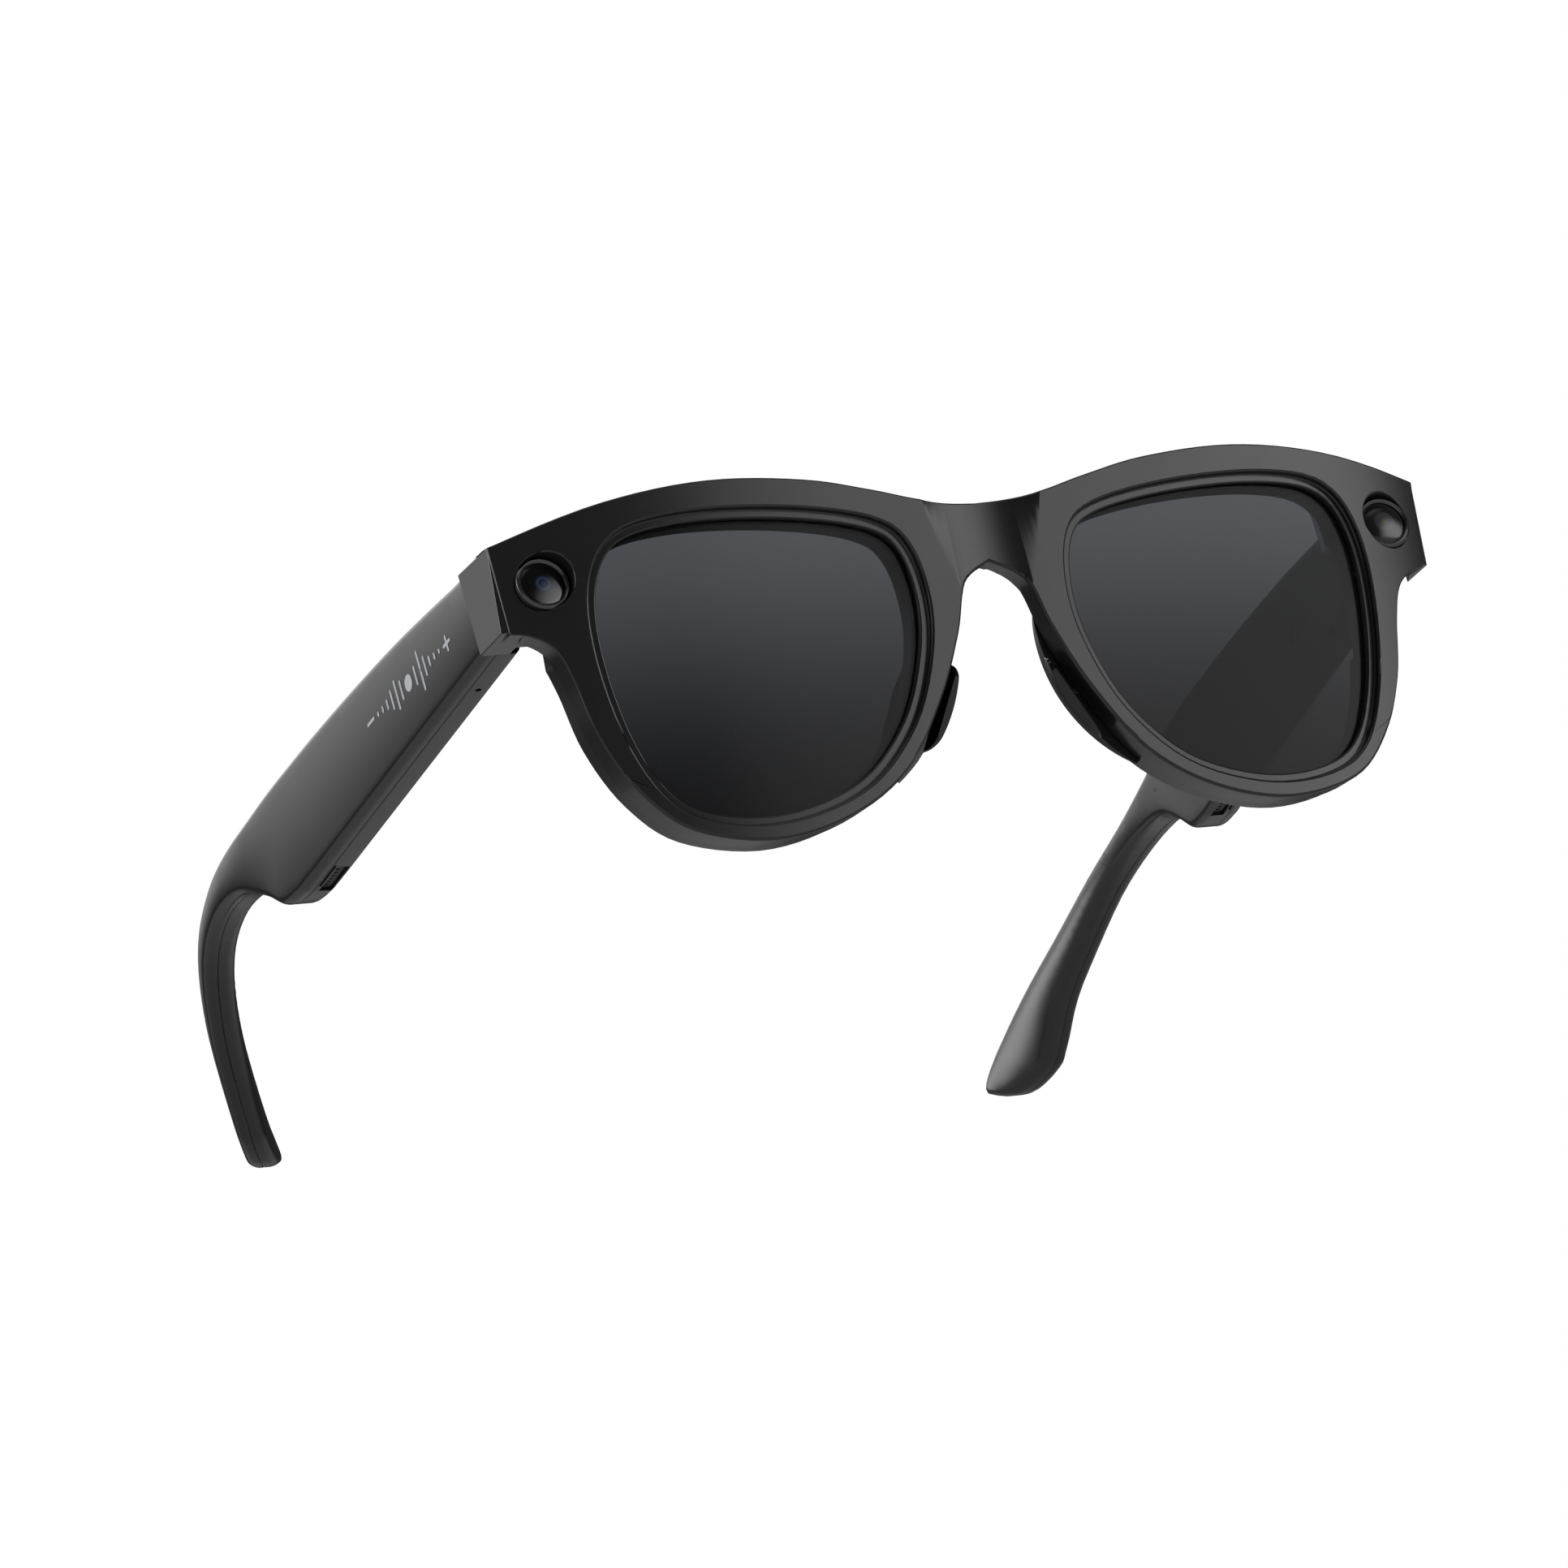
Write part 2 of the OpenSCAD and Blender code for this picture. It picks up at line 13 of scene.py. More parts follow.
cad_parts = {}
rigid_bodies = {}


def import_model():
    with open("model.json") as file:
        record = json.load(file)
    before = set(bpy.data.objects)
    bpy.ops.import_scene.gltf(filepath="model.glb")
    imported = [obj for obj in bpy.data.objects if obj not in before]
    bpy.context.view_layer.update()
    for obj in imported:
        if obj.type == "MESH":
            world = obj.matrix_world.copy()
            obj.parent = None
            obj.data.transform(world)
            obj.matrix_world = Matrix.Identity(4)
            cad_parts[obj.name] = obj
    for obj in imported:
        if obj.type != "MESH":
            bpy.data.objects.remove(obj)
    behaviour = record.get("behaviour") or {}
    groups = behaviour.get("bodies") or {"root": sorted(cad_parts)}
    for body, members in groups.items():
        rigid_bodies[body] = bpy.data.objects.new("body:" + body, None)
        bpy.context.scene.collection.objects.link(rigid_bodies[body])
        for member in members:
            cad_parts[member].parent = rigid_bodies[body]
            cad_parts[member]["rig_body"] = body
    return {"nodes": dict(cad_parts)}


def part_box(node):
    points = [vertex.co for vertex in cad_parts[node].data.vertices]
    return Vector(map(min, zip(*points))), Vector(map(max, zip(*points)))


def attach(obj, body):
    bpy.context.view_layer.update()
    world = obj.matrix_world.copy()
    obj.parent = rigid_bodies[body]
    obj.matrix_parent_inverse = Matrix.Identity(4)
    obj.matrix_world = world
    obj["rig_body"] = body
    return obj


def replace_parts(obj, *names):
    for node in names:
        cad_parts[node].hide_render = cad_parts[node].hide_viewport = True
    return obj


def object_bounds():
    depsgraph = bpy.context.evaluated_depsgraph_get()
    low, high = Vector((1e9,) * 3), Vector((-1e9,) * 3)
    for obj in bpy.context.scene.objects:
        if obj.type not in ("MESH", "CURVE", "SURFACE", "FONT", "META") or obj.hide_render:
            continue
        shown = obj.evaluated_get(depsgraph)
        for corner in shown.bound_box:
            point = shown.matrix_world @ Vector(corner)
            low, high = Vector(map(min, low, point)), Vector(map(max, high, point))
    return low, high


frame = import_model()
cad_low, cad_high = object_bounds()
scene = bpy.context.scene
NODES = frame["nodes"]
MM = 0.001
SIDES = ("left", "right")

# ---------------------------------------------------------------- materials


def add(tree, kind, **values):
    node = tree.nodes.new(kind)
    for key, value in values.items():
        if key in node.inputs:
            node.inputs[key].default_value = value
        else:
            setattr(node, key, value)
    return node


def material(name, base, roughness, metallic=0.0, specular=0.5, coat=0.0):
    made = bpy.data.materials.new(name)
    made.use_nodes = True
    shader = made.node_tree.nodes["Principled BSDF"]
    shader.inputs["Base Color"].default_value = (*base, 1)
    shader.inputs["Roughness"].default_value = roughness
    shader.inputs["Metallic"].default_value = metallic
    shader.inputs["Specular IOR Level"].default_value = specular
    shader.inputs["Coat Weight"].default_value = coat
    shader.inputs["Coat Roughness"].default_value = 0.2
    return made


GRAIN_SCALE = 9000.0
GRAIN_DEPTH = 0.02 * MM


def varied(made, scale, dark, light, rough_low, rough_high, bump=0.0):
    """Slight colour and gloss variation, and a fine moulded grain."""
    tree = made.node_tree
    shader = tree.nodes["Principled BSDF"]
    place = add(tree, "ShaderNodeTexCoord")
    broad = add(tree, "ShaderNodeTexNoise", Scale=scale, Detail=4.0, Roughness=0.55)
    tree.links.new(place.outputs["Object"], broad.inputs["Vector"])
    tint = add(tree, "ShaderNodeMix", data_type="RGBA")
    tint.inputs[6].default_value = (*dark, 1)
    tint.inputs[7].default_value = (*light, 1)
    tree.links.new(broad.outputs["Fac"], tint.inputs[0])
    tree.links.new(tint.outputs[2], shader.inputs["Base Color"])
    gloss = add(tree, "ShaderNodeMapRange")
    gloss.inputs["To Min"].default_value = rough_low
    gloss.inputs["To Max"].default_value = rough_high
    tree.links.new(broad.outputs["Fac"], gloss.inputs["Value"])
    tree.links.new(gloss.outputs["Result"], shader.inputs["Roughness"])
    if bump:
        grain = add(tree, "ShaderNodeTexNoise", Scale=GRAIN_SCALE, Detail=2.0)
        tree.links.new(place.outputs["Object"], grain.inputs["Vector"])
        relief = add(tree, "ShaderNodeBump", Strength=bump, Distance=GRAIN_DEPTH)
        tree.links.new(grain.outputs["Fac"], relief.inputs["Height"])
        tree.links.new(relief.outputs["Normal"], shader.inputs["Normal"])
    return made


def plastic(name, grey, rough, grain=0.06, **more):
    """A slightly cool grey plastic."""
    dark = (grey * 0.85, grey * 0.87, grey * 0.93)
    light = (grey * 1.1, grey * 1.12, grey * 1.18)
    made = material(name, dark, rough, **more)
    return varied(made, 90, dark, light, rough - 0.03, rough + 0.04, grain)


def metal(name, base, rough):
    dark = tuple(v * 0.85 for v in base)
    made = material(name, base, rough, metallic=1.0)
    return varied(made, 400, dark, base, rough - 0.05, rough + 0.08, 0.1)


def tone(name, colour, rough):
    """A matt finish of any colour, for prints and inner parts."""
    dark = tuple(v * 0.8 for v in colour)
    return varied(material(name, colour, rough), 500, dark, colour, rough - 0.04, rough + 0.06, 0.1)


def radial(name, centre, radius, stops, roughness, coat=0.0):
    """A finish whose colour depends on the distance from an axis along Y."""
    made = material(name, (0.1, 0.1, 0.1), roughness, coat=coat)
    tree = made.node_tree
    place = add(tree, "ShaderNodeTexCoord")
    offset = add(tree, "ShaderNodeVectorMath", operation="SUBTRACT")
    offset.inputs[1].default_value = centre
    tree.links.new(place.outputs["Object"], offset.inputs[0])
    flat = add(tree, "ShaderNodeVectorMath", operation="MULTIPLY")
    flat.inputs[1].default_value = (1 / radius, 0, 1 / radius)
    tree.links.new(offset.outputs["Vector"], flat.inputs[0])
    size = add(tree, "ShaderNodeVectorMath", operation="LENGTH")
    tree.links.new(flat.outputs["Vector"], size.inputs[0])
    grain = add(tree, "ShaderNodeTexNoise", Scale=700.0, Detail=3.0)
    tree.links.new(place.outputs["Object"], grain.inputs["Vector"])
    mixed = add(tree, "ShaderNodeMath", operation="MULTIPLY_ADD")
    mixed.inputs[1].default_value = 0.04
    tree.links.new(grain.outputs["Fac"], mixed.inputs[0])
    tree.links.new(size.outputs["Value"], mixed.inputs[2])
    ramp = add(tree, "ShaderNodeValToRGB")
    ramp.color_ramp.interpolation = "EASE"
    while len(ramp.color_ramp.elements) < len(stops):
        ramp.color_ramp.elements.new(0.5)
    for element, (at, colour) in zip(ramp.color_ramp.elements, stops):
        element.position = at
        element.color = (*colour, 1)
    tree.links.new(mixed.outputs["Value"], ramp.inputs["Fac"])
    shader = tree.nodes["Principled BSDF"]
    tree.links.new(ramp.outputs["Color"], shader.inputs["Base Color"])
    gloss = add(tree, "ShaderNodeMapRange")
    gloss.inputs["To Min"].default_value = roughness
    gloss.inputs["To Max"].default_value = roughness + 0.05
    tree.links.new(grain.outputs["Fac"], gloss.inputs["Value"])
    tree.links.new(gloss.outputs["Result"], shader.inputs["Roughness"])
    return made


def gradient_lens(name, low_z, high_z):
    """Tint that lets more light through near the top."""
    made = plastic(name, 0.009, 0.16, grain=0.01, specular=0.1)
    tree = made.node_tree
    place = add(tree, "ShaderNodeTexCoord")
    split = add(tree, "ShaderNodeSeparateXYZ")
    tree.links.new(place.outputs["Object"], split.inputs["Vector"])
    share = add(tree, "ShaderNodeMapRange", interpolation_type="SMOOTHSTEP")
    share.inputs["From Min"].default_value = low_z
    share.inputs["From Max"].default_value = high_z
    share.inputs["To Min"].default_value = 0.07
    share.inputs["To Max"].default_value = 0.28
    tree.links.new(split.outputs["Z"], share.inputs["Value"])
    clear = add(tree, "ShaderNodeBsdfTransparent", Color=(0.94, 0.96, 1.0, 1))
    mix = add(tree, "ShaderNodeMixShader")
    tree.links.new(share.outputs["Result"], mix.inputs["Fac"])
    tree.links.new(tree.nodes["Principled BSDF"].outputs["BSDF"], mix.inputs[1])
    tree.links.new(clear.outputs["BSDF"], mix.inputs[2])
    tree.links.new(mix.outputs["Shader"], tree.nodes["Material Output"].inputs["Surface"])
    return made


def middle_of(node):
    low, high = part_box(node)
    return (Vector(low) + Vector(high)) / 2


SATIN = plastic("satin_black", 0.01, 0.25)
INNER = plastic("inner_black", 0.01, 0.3)
GLOSS = plastic("gloss_black", 0.006, 0.14)
STEEL = metal("hinge_steel", (0.45, 0.45, 0.46), 0.3)
BEZEL = metal("dark_anodised", (0.1, 0.1, 0.105), 0.28)
LEGEND = tone("legend_print", (0.42, 0.43, 0.45), 0.5)
lens_low, lens_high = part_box("right_lens")
TINT = gradient_lens("tinted_lens", lens_low[2], lens_high[2])
eye = middle_of("camera_window")
lamp = middle_of("lamp_window")
WINDOW_RADIUS = 3.3 * MM
# Distance from the axis as a share of the radius, and the colour there
# In the camera window the blue centre and blue ring are painted reflections of the coated lens elements
# inside; the near-black between and round them is the window's own dark interior
EYE_PAINTED_REFLECTION_STOPS = [
    (0, (0.02, 0.05, 0.13)),
    (0.16, (0.004, 0.006, 0.012)),
    (0.3, (0.02, 0.045, 0.11)),
    (0.42, (0.002, 0.002, 0.003)),
    (1, (0.002, 0.002, 0.002)),
]
LAMP_STOPS = [
    (0, (0.14, 0.12, 0.05)),
    (0.2, (0.06, 0.06, 0.058)),
    (0.45, (0.05, 0.05, 0.052)),
    (0.55, (0.014, 0.014, 0.015)),
    (1, (0.01, 0.01, 0.011)),
]
BOARD = tone("solder_mask", (0.02, 0.09, 0.04), 0.4)
FLEX = tone("polyimide", (0.35, 0.15, 0.03), 0.35)
SPEAKER = tone("speaker_black", (0.03, 0.03, 0.03), 0.5)
CONTROL = plastic("button_black", 0.014, 0.3)
# Node name, or part of one, and its finish; the first match counts
FINISH = {
    "camera_bezel": BEZEL,
    "lamp_bezel": BEZEL,
    # The camera glass colour carries painted reflections of the lens elements in its blue rings
    "camera_window": radial("camera_glass", eye, WINDOW_RADIUS, EYE_PAINTED_REFLECTION_STOPS, 0.08, 0.2),
    "lamp_window": radial("lamp_glass", lamp, WINDOW_RADIUS, LAMP_STOPS, 0.1, 0.1),
    "charging_contacts": metal("contact_gold", (0.62, 0.5, 0.3), 0.3),
    "camera_barrel": INNER,
    "camera_sensor": BOARD,
    "lamp_emitter": tone("phosphor", (0.7, 0.6, 0.35), 0.5),
    "frame_flex": FLEX,
    "battery": metal("cell_foil", (0.35, 0.36, 0.38), 0.35),
    "speaker": SPEAKER,
    "button": CONTROL,
    "microphone": STEEL,
    "hinge": STEEL,
    "screws": metal("screw_steel", (0.5, 0.5, 0.51), 0.25),
    "board": BOARD,
    "touch_sensor": FLEX,
    "switch": SPEAKER,
    "slider": CONTROL,
}

# ---------------------------------------------------------------- mesh helpers

WELD = 0.002 * MM
FLAT = math.radians(0.4)


def linked(name, mesh):
    made = bpy.data.objects.new(name, mesh)
    scene.collection.objects.link(made)
    return made


def meshed(bm, name="work"):
    """Turns a bmesh into an object."""
    mesh = bpy.data.meshes.new(name)
    bm.to_mesh(mesh)
    bm.free()
    return linked(name, mesh)


def copied(node, flatten=False):
    """A CAD node's mesh with its points joined; flatten merges its flat faces."""
    bm = bmesh.new()
    bm.from_mesh(NODES[node].data)
    bmesh.ops.remove_doubles(bm, verts=bm.verts, dist=WELD)
    if flatten:
        bmesh.ops.dissolve_limit(bm, angle_limit=FLAT, verts=bm.verts, edges=bm.edges)
    return bm


def piece(name, bm, finish, body):
    made = meshed(bm, name)
    made.data.materials.append(finish)
    made.data.shade_smooth()
    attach(made, body)
    return made


def tree_of(*nodes):
    """A search tree of these CAD nodes' surfaces."""
    points, faces = [], []
    for n in nodes:
        mesh = NODES[n].data
        start = len(points)
        points += [v.co.copy() for v in mesh.vertices]
        faces += [[start + i for i in p.vertices] for p in mesh.polygons]
    return BVHTree.FromPolygons(points, faces)


def sharpen(bm, degrees):
    """Marks the edges that turn by more than this as sharp."""
    for edge in bm.edges:
        edge.smooth = edge.is_manifold and edge.calc_face_angle(0) < math.radians(degrees)


def boundary_loop(faces):
    """The longest outline round a set of faces, in order, as points."""
    chosen = set(faces)
    after = {}
    for face in faces:
        for loop in face.loops:
            if sum(f in chosen for f in loop.edge.link_faces) == 1:
                after.setdefault(loop.vert, []).append(loop.link_loop_next.vert)
    best = []
    seen = set()
    for start in list(after):
        if start in seen:
            continue
        chain, v = [start], after[start][0]
        seen.add(start)
        while v is not start and v in after and v not in seen:
            chain.append(v)
            seen.add(v)
            v = after[v][0]
        if len(chain) > len(best):
            best = chain
    return np.array([list(v.co) for v in best])


def smooth_loop(points, step, corner):
    """Resamples a closed 2D outline as curves that keep corners sharper than this many degrees."""
    count = len(points)
    keep = []
    for i in range(count):
        a = points[i] - points[i - 1]
        b = points[(i + 1) % count] - points[i]
        turn = math.degrees(math.acos(np.clip(a @ b / np.linalg.norm(a) / np.linalg.norm(b), -1, 1)))
        keep.append(turn > corner)
    out = []
    for i in range(count):
        p1, p2 = points[i], points[(i + 1) % count]
        p0 = p1 if keep[i] else points[i - 1]
        p3 = p2 if keep[(i + 1) % count] else points[(i + 2) % count]
        length = np.linalg.norm(p2 - p1)
        d1, d2 = np.linalg.norm(p1 - p0) or length, np.linalg.norm(p3 - p2) or length
        m1 = (p2 - p0) / (length + d1) if not keep[i] else (p2 - p1) / length
        m2 = (p3 - p1) / (length + d2) if not keep[(i + 1) % count] else (p2 - p1) / length
        pieces = max(1, round(length / step))
        for k in range(pieces):
            t = k / pieces
            h = (2 * t**3 - 3 * t**2 + 1, t**3 - 2 * t**2 + t, -2 * t**3 + 3 * t**2, t**3 - t**2)
            out.append(h[0] * p1 + h[1] * m1 * length + h[2] * p2 + h[3] * m2 * length)
    return np.array(out)


def left_normals(loop):
    """Unit normals to the left of a closed outline."""
    d = np.roll(loop, -1, 0) - np.roll(loop, 1, 0)
    d /= np.linalg.norm(d, axis=1)[:, None]
    return np.stack((-d[:, 1], d[:, 0]), 1)


def inside(points, loop):
    """Which points lie inside a closed outline."""
    x, y = points[:, :1], points[:, 1:]
    ax, ay = loop[:, 0], loop[:, 1]
    bx, by = np.roll(ax, -1), np.roll(ay, -1)
    crosses = (ay > y) != (by > y)
    at = (bx - ax) * (y - ay) / np.where(by == ay, 1e-12, by - ay) + ax
    return (crosses & (x < at)).sum(1) % 2 == 1


def distance(points, chain, closed=False):
    """Each point's distance to a chain of segments."""
    a = chain if closed else chain[:-1]
    b = np.roll(chain, -1, 0) if closed else chain[1:]
    d = b - a
    best = np.full(len(points), 1e9)
    for start in range(0, len(points), 400):
        p = points[start : start + 400, None, :]
        t = np.clip(((p - a) * d).sum(2) / np.maximum((d * d).sum(1), 1e-12), 0, 1)
        best[start : start + 400] = np.sqrt((((a + t[..., None] * d) - p) ** 2).sum(2)).min(1)
    return best


def solid(outline, rings, top, bottom, spacing):
    """A closed solid over an anticlockwise outline. rings are (inset, place) from the top cap down; top
    and bottom place the caps' inner points. A place turns flat points into solid ones."""
    bm = bmesh.new()
    normal = left_normals(outline)
    rows = [[bm.verts.new(p) for p in place(outline + normal * inset)] for inset, place in rings]
    count = len(outline)
    for upper, lower in zip(rows, rows[1:]):
        for i in range(count):
            j = (i + 1) % count
            bm.faces.new((upper[i], lower[i], lower[j], upper[j]))
    edges = [(i, (i + 1) % count) for i in range(count)]
    for end, place, flip in ((0, top, False), (-1, bottom, True)):
        rim = outline + normal * rings[end][0]
        low, high = rim.min(0), rim.max(0)
        xs = np.arange(low[0], high[0], spacing)
        ys = np.arange(low[1], high[1], spacing * 0.87)
        grid = np.array([(x + (k % 2) * spacing / 2, y) for k, y in enumerate(ys) for x in xs])
        grid = grid[inside(grid, rim)]
        grid = grid[distance(grid, rim, True) > spacing * 0.6]
        verts = rows[end] + [bm.verts.new(p) for p in place(grid)]
        flats = [Vector(p) for p in rim] + [Vector(p) for p in grid]
        points, _, faces, origin, _, _ = delaunay_2d_cdt(flats, edges, [], 0, 1e-9)
        centres = np.array([np.mean([points[i][:] for i in f], 0) for f in faces])
        # A point that the triangulation adds has no origin, so it gets a place of its own
        at = [verts[o[0]] if o else bm.verts.new(place(np.array([p[:]]))[0]) for p, o in zip(points, origin)]
        for f, within in zip(faces, inside(centres, rim)):
            corners = [at[i] for i in f]
            if within and not bm.faces.get(corners):
                bm.faces.new(corners[::-1] if flip else corners)
    bmesh.ops.recalc_face_normals(bm, faces=bm.faces)
    return bm


def evaluated(made):
    bpy.context.view_layer.update()
    return made.evaluated_get(bpy.context.evaluated_depsgraph_get())


def common(node, envelope):
    """The part of a CAD node inside an envelope, as a bmesh."""
    made = meshed(copied(node))
    cut = made.modifiers.new("cut", "BOOLEAN")
    cut.operation = "INTERSECT"
    cut.solver = "EXACT"
    cut.object = envelope
    out = bmesh.new()
    out.from_mesh(evaluated(made).to_mesh())
    bpy.data.objects.remove(made)
    bmesh.ops.remove_doubles(out, verts=out.verts, dist=1e-7)
    return out


# ---------------------------------------------------------------- temples

# Lengths in mm. Samples along a temple run past both ends of it, and bumps in them are blurred
STEP = 0.25
PAST_FRONT, PAST_REAR = 6, 4
RAY_STEP = 1.3
BLUR_SAMPLES = 12
BLUR_WIDTH = 1.2
BLUR = np.exp(-0.5 * (np.arange(-BLUR_SAMPLES, BLUR_SAMPLES + 1) * STEP / BLUR_WIDTH) ** 2)
BLUR /= BLUR.sum()
# The envelope runs on past the front end, so that only the CAD solid ends it there
REACH = 3.0
OUTLINE_STEP, OUTLINE_CORNER = 0.7, 35
CAP_SPACING = 1.1
# The skin lies just inside the CAD solid
SIDE_INSET, FACE_INSET = 0.07, 0.02
EDGE_RADIUS = 1.25
EDGE_STEPS = 8
# How much each face falls towards its edges, at the front and, added to it, at the rear
OUTER_CROWN, OUTER_CROWN_REAR = 0.45, 0.1
INNER_CROWN, INNER_CROWN_REAR = 0.1, 0.9
REAR_START, REAR_LENGTH = 88, 30
# The seam between shell and cover: its depth, and the (inset, depth from its middle) of its groove
SEAM = 2.42
SEAM_GROOVE = [(0.0, -0.16), (0.1, -0.03), (0.1, 0.03), (0.0, 0.16)]


def blurred(values):
    return np.convolve(np.pad(values, BLUR_SAMPLES, mode="reflect", reflect_type="odd"), BLUR, "valid")


def profile(side, sign, rim):
    """Places along a temple, and how far its outer and inner faces are from the middle plane there.
    Ahead of the front end the outer face runs on straight."""
    front_y = rim[:, 1].min()
    along = np.arange(front_y - PAST_FRONT, rim[:, 1].max() + PAST_REAR, STEP)
    order = np.argsort(rim[:, 1])
    known_y, first = np.unique(np.round(rim[order, 1], 3), return_index=True)
    known_x = (rim[order, 0] * sign)[first]
    slope = (known_x[4] - known_x[0]) / (known_y[4] - known_y[0])
    ahead = known_x[0] + slope * (along - front_y)
    outer = np.where(along < front_y, ahead, np.interp(along, known_y, known_x))
    cover = tree_of(f"{side}_temple_cover")
    heights = np.arange(cad_low.z / MM, cad_high.z / MM, RAY_STEP)
    inner = []
    for y in along:
        hits = [cover.ray_cast(Vector((0, y * MM, z * MM)), Vector((sign, 0, 0)))[0] for z in heights]
        inner.append(min((hit.x * sign / MM for hit in hits if hit), default=np.nan))
    inner = np.array(inner)
    known = ~np.isnan(inner)
    thickness = np.interp(along, along[known], (outer - inner)[known])
    return along, blurred(outer), blurred(outer) - blurred(thickness)


def side_outline(rim):
    """The temple's outline from the side as along and up, anticlockwise and smooth."""
    outline = rim[:, 1:]
    area = np.sum(outline[:, 0] * np.roll(outline[:, 1], -1) - np.roll(outline[:, 0], -1) * outline[:, 1])
    if area < 0:
        outline = outline[::-1]
    outline = outline.copy()
    outline[outline[:, 0] < outline[:, 0].min() + 0.01, 0] -= REACH
    outline = smooth_loop(outline, OUTLINE_STEP, OUTLINE_CORNER)
    return outline + left_normals(outline) * SIDE_INSET


def edges_of(outline):
    """The lower and upper long edges of an outline, which meet at the ear tip."""
    tip = int(np.argmax(outline[:, 0] - outline[:, 1] * 0.7))
    fronts = np.where(outline[:, 0] < outline[:, 0].min() + 0.02)[0]
    low_front = fronts[np.argmin(outline[fronts, 1])]
    high_front = fronts[np.argmax(outline[fronts, 1])]

    def chain(a, b):
        return outline[a : b + 1] if a <= b else np.concatenate((outline[a:], outline[: b + 1]))

    return chain(low_front, tip), chain(tip, high_front)


def temple(side):
    """The shell and cover of a temple, cut from a smooth envelope round the CAD pair."""
    sign = 1 if side == "left" else -1
    shell = copied(f"{side}_temple_shell")
    rim = boundary_loop([f for f in shell.faces if f.normal.x * sign > 0.75]) / MM
    shell.free()
    front_y = rim[:, 1].min()
    along, outer_x, inner_x = profile(side, sign, rim)
    outline = side_outline(rim)
    lower, upper = edges_of(outline)

    def across(flat):
        """-1 on the lower edge, 1 on the upper edge."""
        a, b = distance(flat, lower), distance(flat, upper)
        return (a - b) / np.maximum(a + b, 1e-6)

    def place(which, depth):
        def put(flat):
            y, z = flat[:, 0], flat[:, 1]
            t = across(flat)
            rear = np.clip((y - front_y - REAR_START) / REAR_LENGTH, 0, 1)
            rear = rear * rear * (3 - 2 * rear)
            if which == "outer":
                crown = OUTER_CROWN + OUTER_CROWN_REAR * rear
                x = np.interp(y, along, outer_x) - FACE_INSET - depth - crown * t * t
            elif which == "inner":
                crown = INNER_CROWN + INNER_CROWN_REAR * rear
                x = np.interp(y, along, inner_x) + FACE_INSET + depth + crown * t * t
            else:
                x = np.interp(y, along, outer_x) - depth
            return np.stack((x * sign, y, z), 1) * MM

        return put

    def turn(which, angle):
        """A ring of the rounded edge, from the face at 0 to the side at a right angle."""
        return EDGE_RADIUS * (1 - math.sin(angle)), place(which, EDGE_RADIUS * (1 - math.cos(angle)))

    angles = [math.pi / 2 * k / EDGE_STEPS for k in range(EDGE_STEPS + 1)]
    rings = [turn("outer", angle) for angle in angles]
    rings += [(inset, place("level", SEAM + depth)) for inset, depth in SEAM_GROOVE]
    rings += [turn("inner", angle) for angle in reversed(angles)]
    envelope = meshed(solid(outline, rings, place("outer", 0), place("inner", 0), CAP_SPACING))
    for part, made, finish in (("shell", "outer", SATIN), ("cover", "inner", INNER)):
        node = f"{side}_temple_{part}"
        bm = common(node, envelope)
        sharpen(bm, 32)
        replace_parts(piece(f"{side}_temple_{made}", bm, finish, f"{side}_temple"), node)
    bpy.data.objects.remove(envelope)


for side in SIDES:
    temple(side)

# ---------------------------------------------------------------- front

# The front leans back by TILT, and wraps back by WRAP at HALF_WIDTH from the middle
TILT = math.radians(12.5)
WRAP, HALF_WIDTH = 8.3 * MM, 73.5 * MM
# The bridge's front surface at the modules' height
ORIGIN = Vector((0, eye.y - 7.07 * MM, eye.z))


def leaned(point):
    """A point in the leaned frame of the front: across, depth behind its surface, up."""
    p = point - ORIGIN
    y = p.y * math.cos(TILT) + p.z * math.sin(TILT)
    z = -p.y * math.sin(TILT) + p.z * math.cos(TILT)
    return Vector((p.x, y - WRAP * (p.x / HALF_WIDTH) ** 4 * math.cos(TILT), z))


def wrapped_normal(x):
    """The normal of the front's wrapped surface at this distance across."""
    slope = 4 * WRAP * (x / HALF_WIDTH) ** 3 / HALF_WIDTH * math.cos(TILT)
    n = Vector((slope, -1, 0)).normalized()
    return Vector((n.x, n.y * math.cos(TILT), n.y * math.sin(TILT)))


def directions(count):
    """Directions spread evenly over a sphere."""
    golden = math.pi * (3 - math.sqrt(5))
    for i in range(count):
        z = 1 - 2 * (i + 0.5) / count
        r = math.sqrt(1 - z * z)
        yield Vector((r * math.cos(golden * i), r * math.sin(golden * i), z))


DIRECTIONS = list(directions(24))
everything = tree_of(*NODES)


def open_air(point, normal):
    """Share of the directions in front of a point that meet nothing."""
    ahead = [d for d in DIRECTIONS if d.dot(normal) > 0.1]
    clear = [d for d in ahead if everything.ray_cast(point + d * 0.02 * MM, d)[0] is None]
    return len(clear) / max(1, len(ahead))


# Edges that turn by less than this many degrees are smooth, and hidden ones stay as they are
SHARP_TURN = 28
HIDDEN = 0.12
# A bevel weight of 1 stands for this width in mm
WIDEST = 2.0


def weigh_edges(bm, neighbours, width):
    """Gives each sharp edge that shows its rounding as a bevel weight."""
    near = tree_of(*neighbours)
    bevel = bm.edges.layers.float.new("bevel_weight_edge")
    for edge in bm.edges:
        if not edge.is_manifold:
            continue
        angle = math.degrees(edge.calc_face_angle_signed(0))
        if abs(angle) < SHARP_TURN:
            continue
        edge.smooth = False
        middle = (edge.verts[0].co + edge.verts[1].co) / 2
        normal = (edge.link_faces[0].normal + edge.link_faces[1].normal).normalized()
        if open_air(middle + normal * 0.04 * MM, normal) < HIDDEN:
            continue
        gap = near.find_nearest(middle)[3] / MM
        edge[bevel] = min(1, width(middle, angle, gap) / WIDEST)


